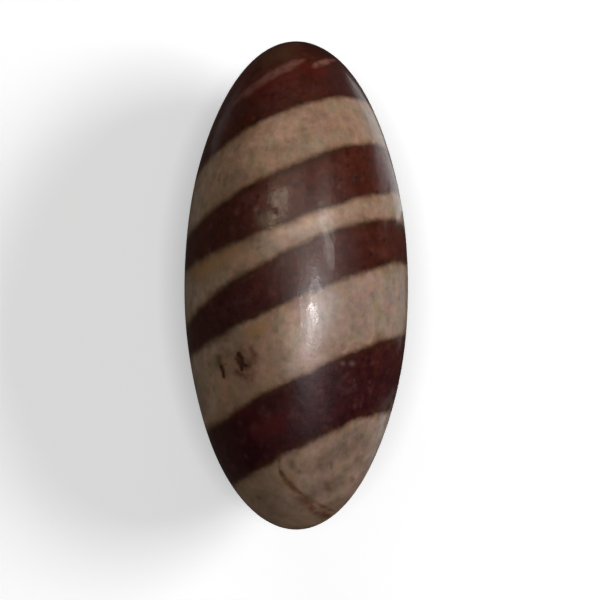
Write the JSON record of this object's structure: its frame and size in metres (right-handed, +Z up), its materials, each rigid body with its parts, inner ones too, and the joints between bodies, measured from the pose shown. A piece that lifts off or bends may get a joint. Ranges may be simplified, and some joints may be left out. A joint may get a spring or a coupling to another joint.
{
  "type": "shiva lingam stone",
  "caption": "Smooth, polished egg-shaped stone with slanting maroon bands on tan, lying on a small flat spot on its belly.",
  "frame": {"origin": "middle of the small flat spot that the stone rests on, at the bottom centre of its box", "axes": "+Z up; Y along the stone from its plain tan end (-Y) to its dark banded end (+Y); X across its width"},
  "size_m": [0.0458, 0.1, 0.044],
  "materials": {
    "stone": "hand-polished jasper: tan, finely mottled ground with slanting dark maroon bands, satin to glossy"
  },
  "bodies": {
    "root": {"stone": "stone"}
  },
  "joints": []
}
